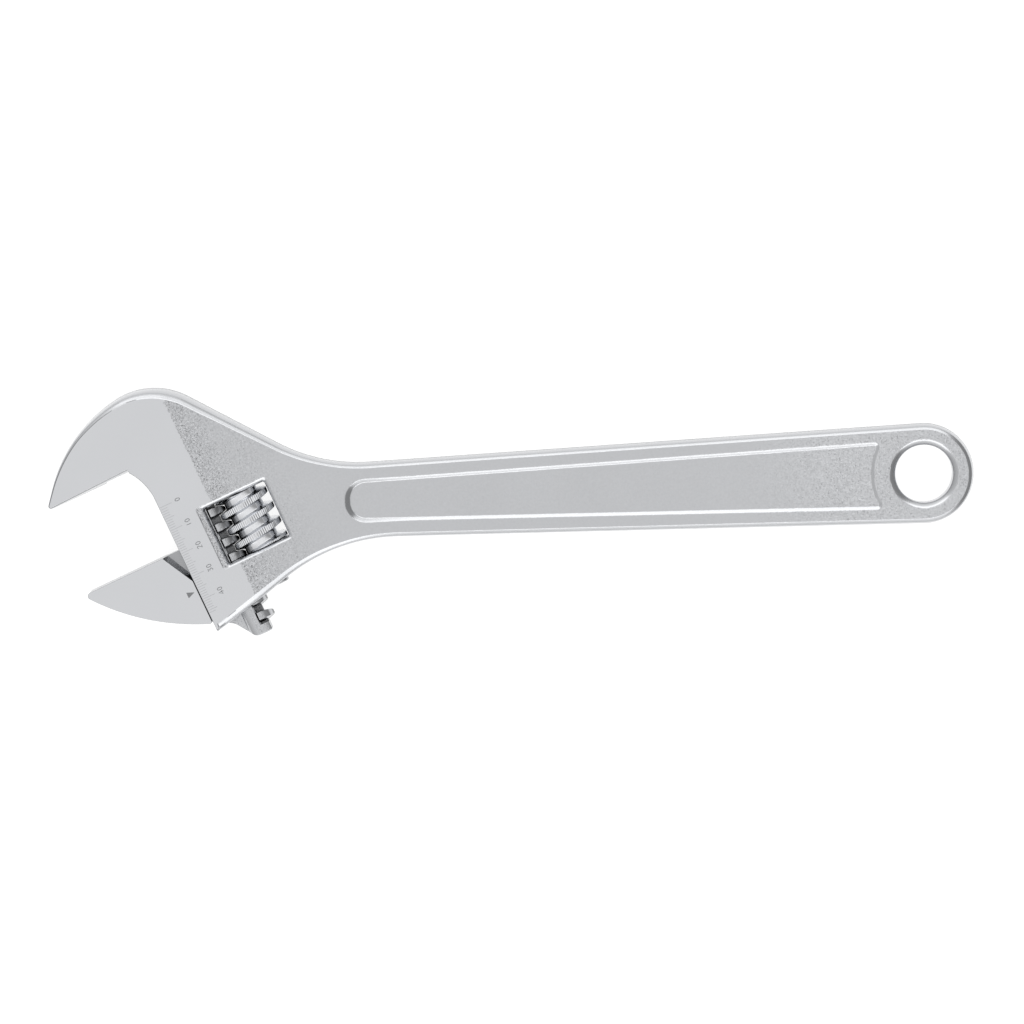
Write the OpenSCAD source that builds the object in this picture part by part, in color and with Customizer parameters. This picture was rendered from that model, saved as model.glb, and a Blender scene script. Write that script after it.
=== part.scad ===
// Adjustable wrench with an angled head, a sliding lower jaw and a knurled worm.
// Row frame: X along the handle (head at -X), Y across it, Z through the thickness.
// The origin is the middle of the hang hole. Head features are placed in the head
// frame (u, w): u runs from the jaw tips to the handle, w towards the fixed jaw.

/* [Handle] */
// radius of the rounded handle end
end_r = 20.4; // [16:0.1:24]
// half width of the handle at its narrow end, by the head
neck_half_w = 15.55; // [12:0.05:18]
// distance from the hang hole to the narrow end
neck_x = 215; // [180:1:240]
// half thickness of the handle
handle_ht = 6.4; // [5:0.05:9]
// depth of the recessed panel on each face
panel_depth = 1.6; // [0.5:0.1:2.5]
// width of the panel's sloping side
panel_slope = 1.1; // [0.5:0.1:1.5]
// radius of the hang hole at mid thickness
hang_r = 11.7; // [8:0.1:13]
// rounding of the hang hole's lips
hang_lip = 2.3; // [1:0.1:3]

/* [Head] */
// angle between the handle and the jaw's slide direction
jaw_angle = 22.5; // [15:0.5:22.5]
// X of the head frame's origin
head_x = -274.9; // [-276:0.1:-270]
// Y of the head frame's origin
head_y = -6.4; // [-8:0.1:-5]
// half thickness of the head
head_ht = 10.5; // [9:0.1:12]
// height of the fixed jaw's gripping face
fixed_w = 38; // [36:0.5:40]
// position of the throat's edge
throat_u = -29.6; // [-31:0.1:-29]

/* [Movable jaw] */
// height of the movable jaw's gripping face at rest
jaw_w = 1.2; // [0:0.1:3]
// radius of the jaw's slide bar
slide_r = 6.9; // [6:0.05:7.2]
// axis of the slide bar
slide_u = -12.7; // [-13.5:0.1:-12]
// half thickness of the jaw's web
web_ht = 4; // [3:0.1:5]
// height of the slide bar's upper end
slide_top = 14; // [12:0.5:16]
// number of rack teeth
rack_teeth = 8; // [6:1:8]

/* [Worm] */
// lead of the single-start thread, and pitch of the rack
lead = 6.6; // [6:0.1:7]
// radius over the thread's crest
worm_r = 10.9; // [10:0.1:11]
// radius of the thread's root
worm_root_r = 7.15; // [6.8:0.05:7.5]
// axis of the worm
worm_u = 1.75; // [1.5:0.05:2]
// length of the worm
worm_len = 23.3; // [20:0.1:23.5]
// width of the thread's crest
crest_w = 2.4; // [2:0.1:2.6]
// height of a crest's middle on the handle side
crest_phase = 8.6; // [8:0.1:9]

/* [Axle and spring] */
// radius of the screw's plain pin
pin_r = 2.5; // [2:0.1:2.8]
// radius of the screw's threaded head
screw_r = 3.5; // [3:0.1:4]
// radius of the spring's wire
wire_r = 0.4; // [0.3:0.05:0.5]
// number of turns in the spring
spring_turns = 4; // [3:1:5]

/* [Fits] */
// radial clearance of a running fit
run_gap = 0.05; // [0.02:0.01:0.1]
// clearance on each flank between the thread and the rack
flank_gap = 0.15; // [0.1:0.05:0.3]

/* [Output] */
// sub-part to build

/* [Hidden] */
$fn = 72;
steel = [0.74, 0.75, 0.77];
polished = [0.82, 0.83, 0.85];
dark = [0.45, 0.46, 0.48];
arc_n = 10;
taper = atan((end_r - neck_half_w) / neck_x);
end_y = end_r / cos(taper) + end_r * tan(taper);
window_half = 13.3;
window_bottom = -12.2;
window_top = 12.1;
worm_bottom = window_bottom + 0.1;
worm_top = worm_bottom + worm_len;
counterbore = 4.2;
rack_root = worm_u - worm_r - 0.35;
rack_tip = rack_root + 2.9;
flank = 13.7;
slide_end = -43.9;
panel_arc_r = 23.3;
panel_arc_x = 3;
bore_top = fixed_w - jaw_w + slide_top + 0.7;

// head frame to row frame, for a point
function place(u, w) = [
    head_x + u * cos(jaw_angle) - w * sin(jaw_angle),
    head_y + u * sin(jaw_angle) + w * cos(jaw_angle)
];
function unit(v) = v / norm(v);

// points of the fillet of radius r at corner v, between neighbours p and q
function fillet(p, v, q, r) =
    let (a = unit(p - v), b = unit(q - v), half = acos(a * b) / 2)
    let (c = v + unit(a + b) * r / sin(half), t = r / tan(half))
    let (s = (v + a * t - c) / r, e = (v + b * t - c) / r, turn = 180 - 2 * half)
    [for (k = [0:arc_n]) c + r * (sin(turn * (1 - k / arc_n)) * s + sin(turn * k / arc_n) * e) / sin(turn)];

// closed outline from corners [x, y, fillet radius, ...]; the rest of a corner is carried along
function outline(c) = [
    for (i = [0:len(c) - 1])
        let (n = len(c), v = c[i], p = c[(i + n - 1) % n], q = c[(i + 1) % n])
        for (pt = v[2] > 0 ? fillet([p[0], p[1]], [v[0], v[1]], [q[0], q[1]], v[2]) : [[v[0], v[1]]])
            [pt[0], pt[1], v[3], v[4]]
];
function xy(ring) = [for (p = ring) [p[0], p[1]]];

// a counter-clockwise ring moved inwards by d[i] at point i
function inset(ring, d) = [
    for (i = [0:len(ring) - 1])
        let (n = len(ring), a = ring[(i + n - 1) % n], v = ring[i], b = ring[(i + 1) % n])
        let (e = unit(v - a), f = unit(b - v), m = unit([-e[1] - f[1], e[0] + f[0]]))
        v + m * d[i] / max(0.5, m * [-f[1], f[0]])
];

// prism with sloping sides: the ring at z0, moved inwards by d at z1
module frustum(ring, z0, z1, d) {
    n = len(ring);
    far = inset(ring, [for (p = ring) d]);
    faces = concat(
        [[for (i = [0:n - 1]) i], [for (i = [0:n - 1]) 2 * n - 1 - i]],
        [for (i = [0:n - 1]) [i, n + i, n + (i + 1) % n, (i + 1) % n]]
    );
    polyhedron(
        points = concat([for (p = ring) [p[0], p[1], z0]], [for (p = far) [p[0], p[1], z1]]),
        faces = z1 > z0 ? faces : [for (f = faces) [for (k = [len(f) - 1:-1:0]) f[k]]]
    );
}

// twice the signed area of a triangle
function area2(a, b, c) = (b[0] - a[0]) * (c[1] - a[1]) - (b[1] - a[1]) * (c[0] - a[0]);
function covers(a, b, c, p) = area2(a, b, p) > -1e-9 && area2(b, c, p) > -1e-9 && area2(c, a, p) > -1e-9;
// whether point k of the counter-clockwise face is an ear that can be cut off
function is_ear(ring, face, k) =
    let (n = len(face), i = (k + n - 1) % n, j = (k + 1) % n)
    let (a = ring[face[i]], b = ring[face[k]], c = ring[face[j]])
    area2(a, b, c) > 1e-6
    && len([for (m = [0:n - 1]) if (m != i && m != j && m != k && covers(a, b, c, ring[face[m]])) m]) == 0;
function find_ear(ring, face, k) = is_ear(ring, face, k) ? k : find_ear(ring, face, k + 1);
// triangles that fill a flat face, which may be concave
function triangles(ring, face) =
    len(face) == 3 ? [face] :
    let (n = len(face), k = find_ear(ring, face, 0))
    concat(
        [[face[(k + n - 1) % n], face[k], face[(k + 1) % n]]],
        triangles(ring, [for (m = [0:n - 1]) if (m != k) face[m]])
    );

// moves its children from the head frame to the row frame
module in_head() {
    translate([head_x, head_y, 0]) rotate([0, 0, jaw_angle]) children();
}

// turns a shape built along Z so that it runs along w
module along_w(u, w) {
    translate([u, w, 0]) rotate([-90, 0, 0]) children();
}

module both_faces() {
    children();
    mirror([0, 0, 1]) children();
}

function head_corner(u, w, r, draft, bevel) =
    let (p = place(u, w)) [p[0], p[1], r, draft, bevel];

// corners of the forging: [x, y, fillet, draft at mid thickness, bevel at the faces]
corners = [
    [end_r, -end_y, end_r - 0.1, 0.5, 1.6],
    [end_r, end_y, end_r - 0.1, 0.5, 1.6],
    [-244, end_r / cos(taper) - 244 * tan(taper), 70, 0.6, 1.6],
    [-303.3, 49.5, 28.4, 0.9, 3.2],
    [-319.6, 49.3, 28.4, 0.9, 2.6],
    [-346.8, 32.6, 61, 0.6, 1.2],
    head_corner(-72.2, fixed_w, 1.6, 0, 0.5),
    head_corner(-34.5, fixed_w, 0, 0, 0.3),
    head_corner(throat_u, 31.6, 21.2, 0, 0.3),
    head_corner(throat_u, -35.3, 1.5, 0.2, 0.8),
    head_corner(-10.5, -31.4, 0, 0.8, 2),
    [-240.3, -15.3, 74, 0.6, 1.6],
    [-211.5, -end_r / cos(taper) + 211.5 * tan(taper), 0, 0.5, 1.6]
];
// index of the first ring point of a corner
function at_corner(k) = k == 0 ? 0 : at_corner(k - 1) + (corners[k - 1][2] > 0 ? arc_n + 1 : 1);

// the forging: drafted sides, bevelled rims, and faces that slope from the head to the handle
module forging() {
    mid = outline(corners);
    n = len(mid);
    flat = xy(mid);
    wall = inset(flat, [for (p = mid) p[2]]);
    edge = inset(flat, [for (p = mid) p[2] + p[3]]);
    crest_a = at_corner(4);
    crest_b = at_corner(10);
    neck_a = at_corner(2);
    neck_b = at_corner(12);
    // distance from the line where the slope starts
    along = unit(edge[crest_b] - edge[crest_a]);
    function run(p) = (p - edge[crest_a]) * [-along[1], along[0]];
    // the slope's far end is parallel to its start, so that it is one plane
    side = edge[0] - edge[neck_b - 1];
    lower = edge[neck_b - 1]
        + side * (run(edge[neck_a]) - run(edge[neck_b - 1])) / (run(edge[0]) - run(edge[neck_b - 1]));
    rim = [for (i = [0:n - 1]) i == neck_b ? lower : edge[i]];
    drop = (handle_ht - head_ht) / run(edge[neck_a]);
    h = [
        for (i = [0:n - 1])
            i >= crest_a && i <= crest_b ? head_ht
            : i <= neck_a || i >= neck_b ? handle_ht
            : head_ht + drop * run(rim[i])
    ];
    wall_z = [for (i = [0:n - 1]) h[i] - 0.8 * mid[i][3]];
    head_face = triangles(rim, [for (i = [crest_a:crest_b]) i]);
    slope_face = triangles(
        rim, concat([for (i = [neck_a:crest_a]) i], [for (i = [crest_b:neck_b]) i])
    );
    // strips from side to side across the handle
    handle_face = concat(
        [[neck_b, 0, neck_a - 1], [neck_b, neck_a - 1, neck_a]],
        [
            for (i = [0:arc_n - 1])
                each [[i, i + 1, neck_a - 2 - i], [i, neck_a - 2 - i, neck_a - 1 - i]]
        ]
    );
    caps = concat(head_face, slope_face, handle_face);
    polyhedron(
        points = concat(
            [for (i = [0:n - 1]) [rim[i][0], rim[i][1], -h[i]]],
            [for (i = [0:n - 1]) [wall[i][0], wall[i][1], -wall_z[i]]],
            [for (p = flat) [p[0], p[1], 0]],
            [for (i = [0:n - 1]) [wall[i][0], wall[i][1], wall_z[i]]],
            [for (i = [0:n - 1]) [rim[i][0], rim[i][1], h[i]]]
        ),
        faces = concat(
            caps,
            [for (f = caps) [4 * n + f[2], 4 * n + f[1], 4 * n + f[0]]],
            [
                for (layer = [0:3])
                    for (i = [0:n - 1])
                        let (a = layer * n + i, b = layer * n + (i + 1) % n)
                            each [[a, a + n, b], [b, a + n, b + n]]
            ]
        )
    );
}

// one face's recessed panel, ending in an arc around the hang hole
module panel_pocket() {
    panel = xy(outline([
        [-235, -8.3, 8],
        [-15.5, -13.8, 1.6],
        [-15.5, 13.8, 1.6],
        [-235, 8.3, 8]
    ]));
    // the sides go on sloping above the handle, where the head gets thicker
    above = 1.5;
    rate = panel_slope / panel_depth;
    difference() {
        frustum(
            inset(panel, [for (p = panel) -above * rate]),
            handle_ht + above, handle_ht - panel_depth, (above + panel_depth) * rate
        );
        translate([panel_arc_x, 0, handle_ht - panel_depth - 0.01])
            cylinder(h = panel_depth + 0.1, r1 = panel_arc_r + panel_slope, r2 = panel_arc_r);
    }
}

// the hang hole with rounded lips, which run a little past the faces
module hang_hole() {
    straight = handle_ht - hang_lip;
    lip = concat(
        [[hang_r + hang_lip + 1.5, handle_ht + 1], [hang_r + hang_lip + 1.5, handle_ht + 0.2]],
        [for (a = [15:15:90]) [hang_r + hang_lip * (1 - sin(a)), straight + hang_lip * cos(a)]]
    );
    n = len(lip);
    rotate_extrude() polygon(concat(
        [[0, handle_ht + 1]],
        lip,
        [for (i = [n - 1:-1:0]) [lip[i][0], -lip[i][1]]],
        [[0, -handle_ht - 1]]
    ));
}

// the worm's window with bevelled rims
module window() {
    translate([-window_half, window_bottom, -head_ht - 1])
        cube([2 * window_half, window_top - window_bottom, 2 * head_ht + 2]);
    both_faces() {
        frustum(
            [
                [-window_half - 1.5, window_bottom - 1.3],
                [window_half + 1.5, window_bottom - 1.3],
                [window_half + 1.5, window_top + 1.3],
                [-window_half - 1.5, window_top + 1.3]
            ],
            head_ht + 0.3, head_ht - 1.5, 1.7
        );
    }
}

module body() {
    color(steel) difference() {
        forging();
        both_faces() panel_pocket();
        hang_hole();
        in_head() {
            window();
            // slide bore, blind at the top
            along_w(slide_u, -60) cylinder(h = bore_top + 60, r = slide_r + run_gap);
            // slot for the jaw's web
            translate([throat_u - 6, -60, -web_ht - run_gap])
                cube([slide_u - throat_u + 6, 60 + fixed_w + 0.6, 2 * (web_ht + run_gap)]);
            // screw hole, and the blind hole for the pin's end
            along_w(worm_u, -60) cylinder(h = 41, r = screw_r + run_gap);
            along_w(worm_u, -20) cylinder(h = 38.2, r = pin_r + run_gap);
        }
    }
}

// side view of the web and the slide bar, in the head frame
module jaw_side() {
    polygon(xy(outline([
        [-45, jaw_w, 0],
        [-45, -25.5, 0],
        [-30, -31.2, 12],
        [-22.3, -35.2, 8],
        [-16.4, slide_end + 0.1, 3.5],
        [-9.6, slide_end, 1.6],
        [-9.6 + 3.5, slide_end + 3, 0],
        [-9.6 + 3.5, slide_top, 1],
        [slide_u - slide_r - 0.3, slide_top, 1],
        [slide_u - slide_r - 0.3, jaw_w, 0]
    ])));
}

// half width of the worm's groove at a radius
function groove_half(r) = (lead - crest_w) / 2 - (worm_r - r) * tan(flank);

// one slanted rack tooth, centred on its pitch line
module rack_tooth() {
    half_tip = groove_half(worm_u - rack_tip) - flank_gap;
    half_root = half_tip + tan(flank) * (rack_tip - rack_root + 1);
    slant = atan(lead / (2 * PI * (worm_u - rack_tip + 1.2)));
    translate([rack_root, 0, 0]) rotate([-slant, 0, 0])
        translate([0, 0, -6]) linear_extrude(height = 12)
            polygon([
                [-1, -half_root],
                [rack_tip - rack_root, -half_tip],
                [rack_tip - rack_root, half_tip],
                [-1, half_root]
            ]);
}

module slide_bar() {
    intersection() {
        along_w(slide_u, slide_end - 1) cylinder(h = slide_top - slide_end + 2, r = slide_r);
        union() {
            translate([slide_u - slide_r - 1, slide_end, -slide_r])
                cube([slide_r + 0.7, slide_top - slide_end, 2 * slide_r]);
            translate([slide_u - 1, slide_end, -4.6])
                cube([rack_root - slide_u + 1, slide_top - slide_end, 9.2]);
            intersection() {
                translate([slide_u, slide_end, -3.8])
                    cube([10, slide_top - slide_end, 7.6]);
                for (k = [0:rack_teeth - 1])
                    translate([0, crest_phase - k * lead, 0]) rack_tooth();
            }
        }
    }
}

module movable_jaw() {
    color(steel) in_head() {
        // blade, at full head thickness
        translate([0, 0, -head_ht]) linear_extrude(height = 2 * head_ht)
            polygon(xy(outline([
                [throat_u - 0.5, -31.3, 0.8],
                [throat_u - 0.5, -10.3, 0],
                [-36.4, jaw_w, 0],
                [-72.7, jaw_w, 1.5],
                [-54.5, -21.5, 95]
            ])));
        // web and slide bar
        intersection() {
            translate([0, 0, -slide_r - 1]) linear_extrude(height = 2 * slide_r + 2) jaw_side();
            union() {
                translate([-45, slide_end - 1, -web_ht])
                    cube([45 + slide_u, jaw_w - slide_end + 1, 2 * web_ht]);
                slide_bar();
            }
        }
    }
}

// radius of the thread at a height and an angle about Z: crests, flanks and root
function thread_r(z, angle) =
    let (turn = (z - crest_phase) / lead - angle / 360)
    let (off = lead * abs(turn - floor(turn + 0.5)))
    min(worm_r, max(worm_root_r, worm_r - (off - crest_w / 2) / tan(flank)));

// the threaded cylinder, about Z: one column of points for each step of the turn
module threaded() {
    steps = 40;
    half_root = crest_w / 2 + (worm_r - worm_root_r) * tan(flank);
    edges = [-half_root, -crest_w / 2, crest_w / 2, half_root];
    first = floor((worm_bottom - crest_phase) / lead) - 2;
    last = ceil((worm_top - crest_phase) / lead) + 1;
    n = len(edges) * (last - first + 1);
    // a full turn lands on the next ridge, so the last column joins the first one ridge up
    next = function (k, j) k < steps - 1 ? (k + 1) * n + j : min(j + len(edges), n - 1);
    polyhedron(
        points = concat(
            [
                for (k = [0:steps - 1])
                    for (m = [first:last])
                        for (e = edges)
                            let (a = 360 * k / steps, h = crest_phase + lead * (m + k / steps) + e)
                                let (z = min(worm_top, max(worm_bottom, h)), r = thread_r(z, a))
                                    [r * cos(a), r * sin(a), z]
            ],
            [[0, 0, worm_bottom], [0, 0, worm_top]]
        ),
        faces = concat(
            [
                for (k = [0:steps - 1])
                    for (j = [0:n - 2])
                        each [
                            [k * n + j, k * n + j + 1, next(k, j)],
                            [k * n + j + 1, next(k, j + 1), next(k, j)]
                        ]
            ],
            [for (k = [0:steps - 1]) [k * n, next(k, 0), steps * n]],
            [for (k = [0:steps - 1]) [next(k, n - 1), k * n + n - 1, steps * n + 1]]
        )
    );
}

module worm() {
    color(polished) in_head() along_w(worm_u, 0) difference() {
        threaded();
        translate([0, 0, worm_bottom - 1]) cylinder(h = worm_len + 2, r = pin_r + run_gap);
        translate([0, 0, worm_top - counterbore]) cylinder(h = counterbore + 1, r = 4.4);
    }
}

module axle_screw() {
    head_end = -28.6;
    thread_end = -19.4;
    pin_end = 17.6;
    color(dark) in_head() along_w(worm_u, 0) difference() {
        rotate_extrude() polygon([
            [0, head_end],
            [screw_r - 0.4, head_end],
            [screw_r, head_end + 0.4],
            [screw_r, thread_end - 0.5],
            [screw_r - 0.5, thread_end],
            [pin_r, thread_end],
            [pin_r, pin_end - 0.8],
            [pin_r - 0.8, pin_end],
            [0, pin_end]
        ]);
        // screwdriver slot
        translate([-5, -0.6, head_end - 1]) cube([10, 1.2, 2.3]);
    }
}

// the worm's spring, coiled around the pin in the worm's counterbore
module worm_spring() {
    steps = 24;
    sides = 8;
    coil_r = 3.5;
    low = worm_top - counterbore + 0.05 + wire_r;
    high = window_top - 0.05 - wire_r;
    count = spring_turns * steps;
    color(dark) in_head() along_w(worm_u, 0) polyhedron(
        points = [
            for (i = [0:count])
                let (a = 360 * i / steps, z = low + (high - low) * i / count)
                    for (j = [0:sides - 1])
                        let (b = 360 * j / sides, r = coil_r + wire_r * cos(b))
                            [r * cos(a), r * sin(a), z + wire_r * sin(b)]
        ],
        faces = concat(
            [[for (j = [0:sides - 1]) j]],
            [[for (j = [0:sides - 1]) (count + 1) * sides - 1 - j]],
            [
                for (i = [0:count - 1])
                    for (j = [0:sides - 1])
                        let (a = i * sides + j, b = i * sides + (j + 1) % sides)
                            each [[a, a + sides, b], [b, a + sides, b + sides]]
            ]
        )
    );
}

body();
movable_jaw();
worm();
axle_screw();
worm_spring();
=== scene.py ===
"""Adjustable wrench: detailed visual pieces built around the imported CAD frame."""
import math

import bmesh
import bpy
import numpy as np
from mathutils import Matrix, Vector
from mathutils.geometry import delaunay_2d_cdt


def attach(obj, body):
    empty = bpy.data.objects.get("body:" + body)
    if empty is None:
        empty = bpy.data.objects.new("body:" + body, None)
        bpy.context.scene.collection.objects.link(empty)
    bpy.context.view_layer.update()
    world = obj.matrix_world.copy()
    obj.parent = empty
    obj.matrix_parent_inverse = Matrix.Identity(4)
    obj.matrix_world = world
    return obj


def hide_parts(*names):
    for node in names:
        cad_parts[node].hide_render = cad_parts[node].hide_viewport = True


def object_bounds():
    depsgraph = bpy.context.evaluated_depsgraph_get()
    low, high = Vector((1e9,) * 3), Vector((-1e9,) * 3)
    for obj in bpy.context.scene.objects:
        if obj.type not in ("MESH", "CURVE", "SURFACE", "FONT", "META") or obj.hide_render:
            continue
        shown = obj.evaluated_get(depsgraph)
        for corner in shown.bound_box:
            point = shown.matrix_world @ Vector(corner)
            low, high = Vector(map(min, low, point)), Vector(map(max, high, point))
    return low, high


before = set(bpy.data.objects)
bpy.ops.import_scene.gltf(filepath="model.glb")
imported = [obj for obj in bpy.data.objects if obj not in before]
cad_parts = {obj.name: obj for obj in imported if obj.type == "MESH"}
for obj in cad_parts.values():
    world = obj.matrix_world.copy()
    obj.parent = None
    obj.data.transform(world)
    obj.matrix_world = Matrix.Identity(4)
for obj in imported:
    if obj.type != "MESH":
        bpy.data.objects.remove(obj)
cad_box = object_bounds()

MM = 0.001
# Sizes are in millimetres. The row frame has its origin in the hang hole, with the handle along X.
# The head frame is turned by the jaw angle: u runs across the head, away from the jaws' opening,
# and w runs along the movable jaw's path, towards the fixed jaw. z is across the thickness.
HEAD_X, HEAD_Y = -274.9, -6.4
JAW_ANGLE = math.radians(22.5)
# half thickness of head and handle, and height of the panel's floor
HEAD_HT, HANDLE_HT, PANEL_Z = 10.5, 6.4, 5.3
# the slope between the head's and the handle's faces
CREST_U, SLOPE_END_U = -9.5, 54.4
# the handle: radius of its end, half width at the neck, and length between them
END_R, NECK_HALF_W, NECK_X = 20.4, 15.55, 215.0
TAPER = math.atan((END_R - NECK_HALF_W) / NECK_X)
END_Y = END_R / math.cos(TAPER) + END_R * math.tan(TAPER)
# gripping faces of the fixed and the movable jaw, and the throat between them
FIXED_W, THROAT_U, JAW_W = 38.0, -29.6, 1.2
WINDOW_HALF, WINDOW_LOW, WINDOW_HIGH = 13.3, -12.2, 12.1
# the jaw's round slide bar, and half thickness of its web
SLIDE_U, SLIDE_R, SLIDE_TOP, SLIDE_END = -12.7, 6.9, 14.0, -43.9
WEB_HT = 4.0
# the worm: axis, outer and root radius, travel of a turn, ends, width and place of a crest
WORM_U, WORM_R, WORM_ROOT, LEAD = 1.75, 10.9, 7.5, 6.6
WORM_LOW, WORM_TOP = -12.1, 11.85
CREST_W, CREST_PHASE, FLANK = 2.4, 8.6, math.radians(13.7)
KNURLS, KNURL_DEPTH = 72, 0.22
PIN_R, PIN_HEAD_R, SPRING_R, SPRING_SEAT = 2.55, 3.55, 4.4, 7.0
RACK_ROOT = WORM_U - WORM_R - 0.35
RACK_TIP = RACK_ROOT + 3.95
RUN_GAP = 0.05
# the millimetre scale: place of its zero, space between lines, and depth of the engraving
SCALE_ZERO, SCALE_STEP, SCALE_DEPTH = 20.2, 1.02, 0.12
# how much darker the forged skin is than the ground face, out of 1
FORGED_SHADE = -0.08
# brightness of the studio's white and dark walls
SKY_WHITE, SKY_DARK = 1.2, 0.4
COS, SIN = math.cos(JAW_ANGLE), math.sin(JAW_ANGLE)


# ---------------------------------------------------------------- plane geometry
def place(u, w):
    """A point of the head frame in the row frame."""
    return HEAD_X + u * COS - w * SIN, HEAD_Y + u * SIN + w * COS


def head_u(points):
    """The u coordinate of row-frame points."""
    return (points[:, 0] - HEAD_X) * COS + (points[:, 1] - HEAD_Y) * SIN


def ramp(t, soft):
    """0 below 0, t above 0, with a rounded bend of half width soft."""
    return np.where(t < -soft, 0, np.where(t > soft, t, (t + soft) ** 2 / (4 * soft)))


def face_height(points):
    """Half thickness of the forging: flat head, slope, flat handle, with rounded bends."""
    u = head_u(points)
    rate = (HEAD_HT - HANDLE_HT) / (SLOPE_END_U - CREST_U)
    return HEAD_HT - rate * (ramp(u - CREST_U, 1.0) - ramp(u - SLOPE_END_U, 14.0))


def fillet(p, v, q, r, step):
    """Points of the fillet of radius r at corner v, between its neighbours p and q, at most
    step apart and 9 degrees from each other."""
    p, v, q = np.array(p), np.array(v), np.array(q)
    if r <= 0:
        return [v]
    a, b = (p - v) / np.linalg.norm(p - v), (q - v) / np.linalg.norm(q - v)
    half = math.acos(np.clip(a @ b, -1, 1)) / 2
    centre = v + (a + b) / np.linalg.norm(a + b) * r / math.sin(half)
    reach = r / math.tan(half)
    s, e = (v + a * reach - centre) / r, (v + b * reach - centre) / r
    turn = math.pi - 2 * half
    count = max(4, math.ceil(turn * r / step), math.ceil(math.degrees(turn) / 9))
    return [
        centre + r * (math.sin(turn * (1 - k / count)) * s + math.sin(turn * k / count) * e)
        / math.sin(turn)
        for k in range(count + 1)
    ]


def trace(corners, step=1.5, longest=4.0):
    """Ring of points from corners (x, y, fillet, *values), and each point's values, which
    change evenly along the ring from the middle of one corner to the middle of the next."""
    points, marks = [], []
    n = len(corners)
    for i, v in enumerate(corners):
        bend = fillet(corners[i - 1][:2], v[:2], corners[(i + 1) % n][:2], v[2], step)
        marks.append(len(points) + len(bend) // 2)
        points += bend
    ring, index = [], {}
    for i, point in enumerate(points):
        after = points[(i + 1) % len(points)]
        index[i] = len(ring)
        parts = max(1, math.ceil(np.linalg.norm(after - point) / longest))
        ring += [point + (after - point) * j / parts for j in range(parts)]
    ring = np.array(ring)
    steps = np.linalg.norm(np.roll(ring, -1, 0) - ring, axis=1)
    along = np.concatenate([[0], np.cumsum(steps)[:-1]])
    at = [along[index[m]] for m in marks]
    extra = [
        np.interp(along, at, [c[k] for c in corners], period=steps.sum())
        for k in range(3, len(corners[0]))
    ]
    return ring, np.array(extra).T


def inset(ring, distance):
    """A counter-clockwise ring moved inwards by a distance, which may differ at each point."""
    before, after = np.roll(ring, 1, 0), np.roll(ring, -1, 0)
    e, f = ring - before, after - ring
    e /= np.linalg.norm(e, axis=1)[:, None]
    f /= np.linalg.norm(f, axis=1)[:, None]
    m = np.stack([-e[:, 1] - f[:, 1], e[:, 0] + f[:, 0]], 1)
    m /= np.linalg.norm(m, axis=1)[:, None]
    cosine = np.maximum(0.5, -m[:, 0] * f[:, 1] + m[:, 1] * f[:, 0])
    return ring + m * (np.broadcast_to(distance, len(ring)) / cosine)[:, None]


def inside(points, ring):
    """Whether each point is inside the ring."""
    found = np.zeros(len(points), bool)
    for (x0, y0), (x1, y1) in zip(ring, np.roll(ring, -1, 0)):
        if y0 == y1:
            continue
        crosses = (points[:, 1] > y0) != (points[:, 1] > y1)
        found ^= crosses & (points[:, 0] < x0 + (points[:, 1] - y0) * (x1 - x0) / (y1 - y0))
    return found


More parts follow.
